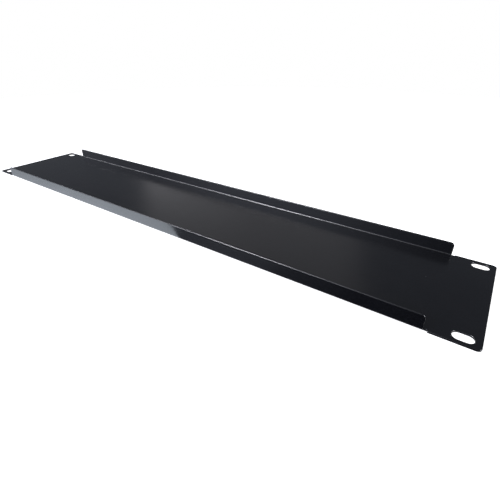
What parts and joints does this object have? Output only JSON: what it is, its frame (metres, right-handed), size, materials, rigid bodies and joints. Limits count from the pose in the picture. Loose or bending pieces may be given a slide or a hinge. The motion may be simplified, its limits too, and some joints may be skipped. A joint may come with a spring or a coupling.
{
  "type": "rack blanking panel",
  "caption": "Black sheet-metal blanking panel for a 19-inch rack, with two long edges folded back into flanges and slotted flat ears at both ends.",
  "frame": {"origin": "centre of the flat front face, which the panel lies on", "axes": "+X along the panel from ear to ear, +Y across its height in the rack, +Z out of the back of the face, the way the flanges point"},
  "size_m": [0.4826, 0.0882, 0.01],
  "materials": {
    "black_powder_coat": "semi-gloss black powder coat, very fine texture"
  },
  "bodies": {
    "root": {"blanking_panel": "black_powder_coat"}
  },
  "joints": []
}
